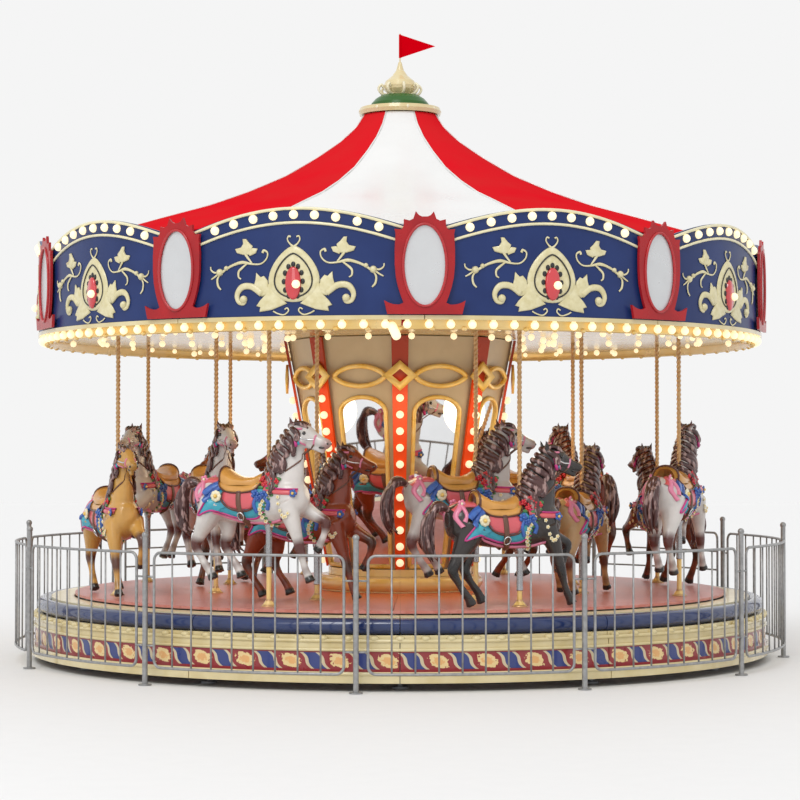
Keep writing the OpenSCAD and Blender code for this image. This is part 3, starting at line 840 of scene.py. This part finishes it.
def coat(name, col, dark, hoof=(0.02, 0.018, 0.016), muzzle=None):
    muz = muzzle or tuple(c * 0.55 for c in col)

    def extra(s, c):
        a = s.new("ShaderNodeAttribute", attribute_name="Coat")
        sep = s.new("ShaderNodeSeparateColor")
        s.link(a.outputs["Color"], sep.inputs[0])
        c = s.mix(s.math("MULTIPLY", sep.outputs[2], 0.7), c, muz)
        c = s.mix(sep.outputs[1], c, dark)
        return s.mix(sep.outputs[0], c, hoof)
    return paint(name, col, 0.26, coat=0.35, scale=5, wear=0.22, bump=0.05, spec=0.4, extra=extra)


WHITE = coat("coat_white", (0.68, 0.64, 0.61), (0.10, 0.030, 0.025), muzzle=(0.30, 0.13, 0.12))
GREY = coat("coat_grey", (0.56, 0.52, 0.49), (0.12, 0.04, 0.035), muzzle=(0.28, 0.14, 0.13))
BLACK = coat("coat_black", (0.035, 0.028, 0.026), (0.014, 0.012, 0.012))
BROWN = coat("coat_brown", (0.20, 0.050, 0.020), (0.05, 0.022, 0.012))
CHEST = coat("coat_chestnut", (0.25, 0.045, 0.016), (0.08, 0.03, 0.018))
PALO = coat("coat_palomino", (0.62, 0.34, 0.085), (0.11, 0.045, 0.03))
TAN = coat("coat_tan", (0.52, 0.33, 0.15), (0.11, 0.045, 0.03))
def streaks(s, c):
    """Carved locks: dark ground with pale painted streaks."""
    n = s.noise(34.0, 2.0, (1.0, 1.0, 0.35))
    m = s.math("MINIMUM", s.math("MAXIMUM", s.math("MULTIPLY", s.math("SUBTRACT", n, 0.54), 11.0), 0.0), 1.0)
    return s.mix(s.math("MULTIPLY", m, 0.8), c, (0.42, 0.27, 0.25))


HAIR = paint("hair_brown", (0.045, 0.012, 0.011), 0.30, coat=0.4, col2=(0.075, 0.022, 0.020), bump=0.4, extra=streaks)
EYE = paint("eye_dark", (0.01, 0.008, 0.008), 0.05, coat=1.0)
SADDLE = paint("saddle_tan", (0.66, 0.33, 0.075), 0.34, coat=0.4, col2=(0.56, 0.26, 0.05), scale=8, bump=0.3,
    bscale=140)
EDGE = paint("saddle_edge", (0.10, 0.03, 0.02), 0.4, coat=0.3)
CORAL = paint("tack_coral", (0.66, 0.10, 0.12), 0.35, coat=0.4, col2=(0.60, 0.10, 0.12), scale=14)
TEAL = paint("blanket_teal", (0.035, 0.30, 0.44), 0.4, coat=0.3, col2=(0.05, 0.40, 0.50), scale=14, bump=0.3,
    bscale=200)
BLUE = paint("ribbon_blue", (0.03, 0.13, 0.46), 0.3, coat=0.5, col2=(0.02, 0.06, 0.28), scale=22)
PINK = paint("ribbon_pink", (0.75, 0.22, 0.35), 0.35, coat=0.4)
MAGENTA = paint("tassel_magenta", (0.55, 0.03, 0.22), 0.4, coat=0.3, bump=0.4)
STRAP = paint("strap_brown", (0.14, 0.055, 0.03), 0.4, coat=0.3, bump=0.2)
BUCKLE = paint("buckle_silver", (0.7, 0.7, 0.72), 0.2, 0.95)
ROSE = paint("rose_red", (0.62, 0.015, 0.03), 0.35, coat=0.5)
LEAF = paint("leaf_green", (0.05, 0.20, 0.05), 0.4, coat=0.3)
PETAL = paint("petal_cream", (0.85, 0.78, 0.55), 0.4, coat=0.3)
GOLD = gold_p

body_me = horse_mesh()
_bm = bmesh.new()
_bm.from_mesh(body_me)
tree = BVHTree.FromBMesh(_bm)
_bm.free()
TACKM = [SADDLE, EDGE, CORAL, TEAL, BLUE, PINK, STRAP, BUCKLE, ROSE, LEAF, PETAL, GOLD, MAGENTA]
(S_, E_, C_, T_, B_, K_, ST, BU, RO, LE, PE, GO, MA) = range(13)
tack = Bag()


def side_y(x, z, sg):
    hit = tree.ray_cast(Vector((x, sg * 0.5, z)), Vector((0, -sg, 0)))
    return hit[0].y if hit[0] is not None and hit[0].y * sg > 0 else sg * 0.03


def wrap(x, z, sg, out):
    """A point on the horse's flank, standing out by a little."""
    hit = tree.find_nearest(Vector((x, side_y(x, z, sg), z)))
    p, n = hit[0], hit[1]
    if n.y * sg < 0:
        n = Vector((0, sg, 0))
    return p + n * out


def patch(outline, sg, out, mi, rings=(1.0, 0.97, 0.75, 0.5, 0.25)):
    """A closed flat piece of tack lying on the flank."""
    pts = []
    for a, b in zip(outline, outline[1:] + outline[:1]):
        for k in range(4):
            pts.append((a[0] + (b[0] - a[0]) * k / 4, a[1] + (b[1] - a[1]) * k / 4))
    n = len(pts)
    cx = sum(p[0] for p in pts) / n
    cz = sum(p[1] for p in pts) / n
    v = []
    for j, s in enumerate(rings):
        for x, z in pts:
            v.append(wrap(cx + (x - cx) * s, cz + (z - cz) * s, sg, 0.0 if j == 0 else out))
    v.append(wrap(cx, cz, sg, out))
    f = []
    for j in range(len(rings) - 1):
        for i in range(n):
            k = (i + 1) % n
            f.append((j * n + i, j * n + k, (j + 1) * n + k, (j + 1) * n + i))
    last = (len(rings) - 1) * n
    for i in range(n):
        f.append((last + i, last + (i + 1) % n, len(v) - 1))
    tack.put(v, f, mi)


def strap(pts, sg, w, out, mi, steps=5):
    line = spline(pts, steps)
    v, f = [], []
    m = len(line)
    for j, p in enumerate(line):
        d = np.array(line[min(j + 1, m - 1)]) - np.array(line[max(j - 1, 0)])
        d = d / (np.linalg.norm(d) + 1e-9)
        nx, nz = -d[1], d[0]
        for k, o in ((-0.5, 0.0), (-0.42, out), (0, out * 1.15), (0.42, out), (0.5, 0.0)):
            v.append(wrap(p[0] + nx * w * k, p[1] + nz * w * k, sg, o))
    for j in range(m - 1):
        for k in range(4):
            f.append((j * 5 + k, j * 5 + k + 1, (j + 1) * 5 + k + 1, (j + 1) * 5 + k))
    tack.put(v, f, mi)


def flower(x, z, sg, r, mi, out=0.012, centre=None, petals=6):
    c = wrap(x, z, sg, out)
    for i in range(petals):
        a = 2 * pi * i / petals
        tack.put(*sphere(c + Vector((math.cos(a) * r * 0.6, sg * 0.0, math.sin(a) * r * 0.6)), r * 0.46, 7, 5, (1,
            0.6, 1)), mi)
    tack.put(*sphere(c + Vector((0, sg * r * 0.3, 0)), r * 0.36, 7, 5), mi if centre is None else centre)


for sg in (-1, 1):
    patch([(-0.42, 0.70), (-0.45, 0.62), (-0.53, 0.515), (-0.42, 0.555), (-0.33, 0.535), (-0.20, 0.50), (-0.05, 0.50),
           (0.03, 0.56), (0.05, 0.66), (0.0, 0.73), (-0.2, 0.76)], sg, 0.008, T_)
    patch([(-0.32, 0.72), (-0.33, 0.65), (-0.28, 0.59), (-0.18, 0.565), (-0.08, 0.575), (-0.045, 0.63), (-0.06, 0.69),
           (-0.15, 0.72)], sg, 0.014, C_)
    strap([(-0.315, 0.71), (-0.335, 0.65), (-0.28, 0.588), (-0.18, 0.562), (-0.08, 0.572), (-0.04, 0.63), (-0.055,
        0.69)],
          sg, 0.014, 0.018, E_)
    patch([(-0.395, 0.81), (-0.37, 0.74), (-0.30, 0.70), (-0.18, 0.69), (-0.06, 0.71), (-0.02, 0.76), (-0.03, 0.80)],
          sg, 0.021, S_)
    strap([(-0.385, 0.78), (-0.365, 0.738), (-0.30, 0.698), (-0.18, 0.688), (-0.06, 0.708), (-0.02, 0.755)], sg,
        0.010, 0.025, E_)
    strap([(-0.45, 0.63), (-0.525, 0.52), (-0.42, 0.56), (-0.33, 0.54), (-0.20, 0.505), (-0.05, 0.505), (0.028, 0.56)],
          sg, 0.013, 0.012, MA)
    strap([(-0.19, 0.70), (-0.18, 0.60), (-0.165, 0.52), (-0.14, 0.46)], sg, 0.045, 0.022, ST)
    tack.put(*tube([wrap(-0.168 + 0.026 * math.cos(q), 0.53 + 0.026 * math.sin(q), sg, 0.030)
                    for q in np.linspace(0, 2 * pi, 13)], 0.006, 6, cap=False), BU)
    strap([(-0.36, 0.755), (-0.42, 0.735), (-0.49, 0.68)], sg, 0.055, 0.018, B_)
    strap([(-0.36, 0.73), (-0.41, 0.685), (-0.46, 0.63)], sg, 0.040, 0.022, B_)
    flower(-0.37, 0.665, sg, 0.044, PE, 0.030, GO, 8)
    strap([(-0.40, 0.785), (-0.50, 0.785), (-0.58, 0.735)], sg, 0.034, 0.012, C_)
    strap([(-0.52, 0.78), (-0.575, 0.70), (-0.53, 0.62)], sg, 0.030, 0.014, K_)
    strap([(-0.52, 0.78), (-0.50, 0.71), (-0.52, 0.66)], sg, 0.026, 0.018, K_)
    flower(-0.515, 0.78, sg, 0.032, K_, 0.020, PE, 5)
    strap([(-0.40, 0.545), (-0.30, 0.505), (-0.15, 0.47), (0.05, 0.47), (0.17, 0.50)], sg, 0.014, 0.010, K_)
    strap([(0.02, 0.72), (0.12, 0.705), (0.20, 0.70), (0.285, 0.70)], sg, 0.036, 0.012, C_)
    strap([(0.02, 0.742), (0.12, 0.727), (0.20, 0.722), (0.285, 0.722)], sg, 0.010, 0.016, MA)
    for x, z, r in ((-0.04, 0.68, 0.036), (0.035, 0.675, 0.036), (-0.005, 0.65, 0.028), (0.26, 0.69, 0.032)):
        flower(x, z, sg, r, B_, 0.022, GO if x > 0.2 else B_, 5)
    strap([(-0.03, 0.67), (-0.05, 0.61), (-0.03, 0.55)], sg, 0.028, 0.020, B_)
    strap([(0.03, 0.67), (0.07, 0.62), (0.06, 0.57)], sg, 0.028, 0.018, B_)
    for x, z in ((-0.03, 0.775), (0.01, 0.80), (0.045, 0.775), (0.085, 0.80), (0.02, 0.745), (0.075, 0.755), (0.115,
        0.78), (0.05, 0.825)):
        flower(x, z, sg, 0.028, RO, 0.016, RO, 5)
    for x, z in ((-0.01, 0.73), (0.11, 0.745), (0.13, 0.80), (0.06, 0.725), (-0.05, 0.75)):
        tack.put(*sphere(wrap(x, z, sg, 0.008), 0.028, 8, 5, (1.0, 0.35, 0.6)), LE)
    for k in range(9):
        u = k / 8
        x, z = 0.07 - 0.085 * math.sin(u * 2.6) + 0.02 * u, 0.69 - 0.23 * u
        flower(x, z, sg, 0.019, PE, 0.012, GO, 5)
        tack.put(*sphere(wrap(x + 0.024, z - 0.012, sg, 0.006), 0.017, 7, 4, (1.0, 0.4, 0.6)), LE)
    for k in range(7):
        u = k / 6
        x, z = 0.15 + 0.09 * u, 0.665 - 0.15 * math.sin(u * 2.2)
        flower(x, z, sg, 0.016, PE, 0.010, GO, 5)
    # bridle
    strap([(0.225, 1.19), (0.255, 1.15), (0.285, 1.10), (0.33, 1.06)], sg, 0.014, 0.006, K_, 4)
    strap([(0.225, 1.185), (0.27, 1.185), (0.31, 1.185)], sg, 0.014, 0.007, K_, 4)
    strap([(0.415, 1.135), (0.405, 1.10), (0.395, 1.062)], sg, 0.014, 0.006, K_, 4)
    strap([(0.40, 1.10), (0.345, 1.105), (0.28, 1.125)], sg, 0.012, 0.006, BU, 4)
    strap([(0.40, 1.07), (0.33, 0.99), (0.26, 0.92), (0.18, 0.86)], sg, 0.012, 0.006, ST, 4)
    flower(0.272, 1.135, sg, 0.018, MA, 0.014, BU, 5)
    c = wrap(0.272, 1.12, sg, 0.014)
    tack.put(*tube([c, c + Vector((0.004, sg * 0.006, -0.035)), c + Vector((0.01, sg * 0.008, -0.075))], [0.008,
        0.015, 0.011], 7), MA)
    tack.put(*tube([c + Vector((0.016, 0, 0)), c + Vector((0.022, sg * 0.004, -0.03)), c + Vector((0.03, sg * 0.004,
        -0.06))],
                   [0.006, 0.011, 0.008], 7), T_)
# saddle seat: a dished shell over the back, with a raised cantle and pommel
rows = []
for x, top, half in ((-0.395, 0.875, 0.075), (-0.375, 0.898, 0.105), (-0.34, 0.872, 0.122), (-0.27, 0.828, 0.130),
                     (-0.18, 0.812, 0.128), (-0.10, 0.820, 0.115), (-0.05, 0.848, 0.09), (-0.03, 0.856, 0.06)):
    row = []
    for i in range(13):
        a = pi * i / 12
        y = half * math.cos(a)
        row.append(Vector((x, y * (1.08 if 0 < i < 12 else 1.0), 0.755 + (top - 0.755) * math.sin(a) ** 0.55)))
    rows.append(row)
v = [p for r in rows for p in r]
f = [(j * 13 + i, j * 13 + i + 1, (j + 1) * 13 + i + 1,
    (j + 1) * 13 + i) for j in range(len(rows) - 1) for i in range(12)]
f.append(tuple(range(13)))
f.append(tuple(reversed(range((len(rows) - 1) * 13, len(rows) * 13))))
tack.put(v, f, S_)
tack.put(*tube(rows[1], 0.009, 8), E_)
tack.put(*tube(rows[-1], 0.009, 8), E_)

hair, tail, eyes = Bag(), Bag(), Bag()
for sg in (-1, 1):
    for k in range(9):
        t = k / 8
        x, z = 0.185 - 0.20 * t + 0.03 * math.sin(pi * t) - 0.03 * math.sin(pi * t) * 2, 1.205 - 0.33 * t
        q = rng.uniform(-0.01, 0.01)
        ln = 0.13 + 0.05 * math.sin(k * 1.9) + 0.03 * t
        pts = [Vector((x - 0.012, sg * 0.005, z + 0.012))]
        for m in range(1, 6):
            u = m / 5
            xx = x + 0.085 * math.sin(u * 2.4) + 0.035 * u + q
            zz = z - ln * u
            y = abs(side_y(xx, zz, sg))
            pts.append(Vector((xx + 0.012 * math.sin(6 * u + k), sg * (max(y, 0.05) + 0.014), zz)))
        pts.append(pts[-1] + Vector((0.028, sg * 0.006, 0.006)))
        line = spline(pts, 3)
        rr = [0.027 * (1 - abs(2 * i / (len(line) - 1) - 0.8) ** 2.2 * 0.6) for i in range(len(line))]
        rr[-1] = 0.004
        hair.put(*tube(line, [max(r, 0.004) for r in rr], 7, flat=0.6, up=(0, sg, 0)))
for dy in (-0.03, -0.012, 0.012, 0.03):
    hair.put(*tube(spline([(0.205, dy, 1.20), (0.25, dy * 1.4, 1.232), (0.30, dy * 1.6, 1.222), (0.335, dy, 1.195),
        (0.345, dy, 1.175)], 3),
                   [0.016] * 4 + [0.017] * 4 + [0.014] * 4 + [0.004], 7))
for k in range(9):
    a = 2 * pi * k / 8
    dy, dx = (0.030 * math.cos(a), 0.026 * math.sin(a)) if k < 8 else (0, 0)
    w = 0.02 * math.sin(2.1 * k)
    line = spline([(-0.575, dy * 0.3, 0.735), (-0.645, dy * 0.6, 0.775 + dx * 0.6), (-0.715 + dx * 0.3, dy, 0.755 + dx),
                   (-0.757 + dx, dy * 1.2, 0.66), (-0.765 + dx, dy * 1.4 + w, 0.54), (-0.745 + dx, dy * 1.2, 0.43),
                   (-0.705 + dx * 1.2 + w, dy, 0.355 + 0.02 * (k % 3))], 4)
    rr = list(np.interp(np.linspace(0, 1, len(line)), (0, 0.2, 0.5, 0.8, 1), (0.018, 0.024, 0.027, 0.020, 0.004)))
    tail.put(*tube(line, rr, 7))
for sg in (-1, 1):
    eyes.put(*sphere((0.330, sg * 0.064, 1.153), 0.015, 10, 8))
    eyes.put(*sphere((0.512, sg * 0.030, 1.070), 0.010, 8, 6))
    eyes.put(*sphere((0.46, sg * 0.016, 1.042), 0.020, 8, 6, (1.6, 1, 0.5)))

hair_me = hair.make("mane_0", [HAIR], "turntable")
tail_me = tail.make("tail_0", [HAIR], "turntable")
eye_me = eyes.make("eyes_0", [EYE], "turntable")
tack_me = tack.make("tack_0", TACKM, "turntable")
proto = {"mane": hair_me.data, "tail": tail_me.data, "eyes": eye_me.data, "tack": tack_me.data}
for o in (hair_me, tail_me, eye_me, tack_me):
    bpy.data.objects.remove(o)


def twisted(name, z0, z1, rad, turns_per_m=26):
    """Barley-twist pole: a two-start rope-like tube with rounded ridges."""
    bag = Bag()
    n, m = 10, int((z1 - z0) * 170)
    v, f = [], []
    for j in range(m + 1):
        z = z0 + (z1 - z0) * j / m
        for i in range(n):
            a = 2 * pi * i / n
            r = rad * (0.87 + 0.13 * math.cos(2 * (a - 2 * pi * turns_per_m * z / 2)))
            v.append((r * math.cos(a), r * math.sin(a), z))
    for j in range(m):
        for i in range(n):
            k = (i + 1) % n
            f.append((j * n + i, j * n + k, (j + 1) * n + k, (j + 1) * n + i))
    bag.put(v, f)
    return bag


pole_low = twisted("p", 0.80, 2.2445, 0.0195)
post_b = twisted("q", 0.045, 0.395, 0.0196)
sleeve_prof = [(0.0216, 0.1245), (0.0255, 0.1245), (0.0265, 0.130), (0.025, 0.137), (0.025, 0.40), (0.030, 0.425),
               (0.034, 0.435), (0.034, 0.46)]
slv, slf = lathe(sleeve_prof, 20)
flange = lathe([(0.062, 0.0), (0.0625, 0.006), (0.052, 0.014), (0.040, 0.024), (0.031, 0.036), (0.0255, 0.05), (0.024,
    0.056)], 24)

OUTC = [BLACK, WHITE, BROWN, PALO, BROWN, GREY, PALO, WHITE]
INC = [GREY, TAN, CHEST, CHEST, BROWN, BROWN, WHITE, CHEST]
for ring, R, cols in (("outer", OUT_R, OUTC), ("inner", IN_R, INC)):
    for k in range(8):
        th = PHASE + 45 * k
        low = (k % 2 == 0) == (ring == "outer")
        lift = 0.0 if low else STROKE
        tag = "%s_%d" % (ring, k + 1)
        body = "%s_horse_%d" % (ring, k + 1)
        mat_w = Matrix.Translation(P(th, R, DECK + lift)) @ Matrix.Rotation(radians(th), 4, "Z")
        objs = []
        for part, me in (("body", body_me), ("mane", proto["mane"]), ("tail", proto["tail"]), ("eyes", proto["eyes"]),
                         ("tack", proto["tack"])):
            ob = bpy.data.objects.new("horse_%s_%s" % (part, tag), me)
            bpy.context.scene.collection.objects.link(ob)
            ob.matrix_world = mat_w
            if part == "body" and not me.materials:
                me.materials.append(WHITE)
            if part == "body":
                ob.material_slots[0].link = "OBJECT"
                ob.material_slots[0].material = cols[k]
            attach(ob, body)
            objs.append(ob)
        node = "horse_%s_%d" % (ring, k + 1)
        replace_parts(objs[0], node)
        pole_low.make("pole_" + tag, [polem], body, "gold", matrix=mat_w)
        add("sleeve_" + tag, slv, slf, sleevem, body, matrix=mat_w)
        ft = Bag()
        ft.put(*flange)
        ft.put(post_b.v, post_b.f)
        ft.make("floor_post_twist_" + tag, [polem], "turntable", "gold",
                matrix=Matrix.Translation(P(th, R, DECK + 0.0005)))
